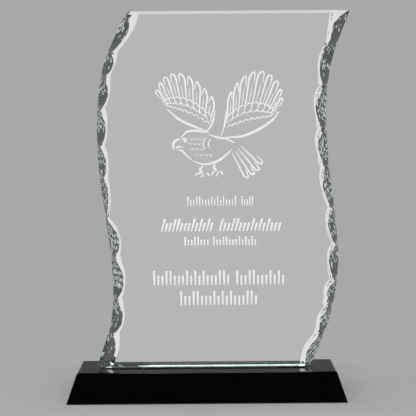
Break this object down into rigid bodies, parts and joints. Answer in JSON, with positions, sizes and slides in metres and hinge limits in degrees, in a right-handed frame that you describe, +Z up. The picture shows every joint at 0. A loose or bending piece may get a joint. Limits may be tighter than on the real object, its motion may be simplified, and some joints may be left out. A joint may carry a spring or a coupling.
{
  "type": "glass award",
  "caption": "Wavy clear glass award panel with chipped sides and an engraved bird of prey, upright on a black glass block base.",
  "frame": {"origin": "middle of the base's underside", "axes": "+Z up, -Y towards the engraved front face, +X to the right as seen from the front"},
  "size_m": [0.1842, 0.073, 0.2511],
  "materials": {
    "clear_glass": "polished, with chipped sides and a frosted engraving",
    "black_glass": "polished, opaque black"
  },
  "bodies": {
    "root": {"glass_panel": "clear_glass", "base": "black_glass"}
  },
  "joints": []
}
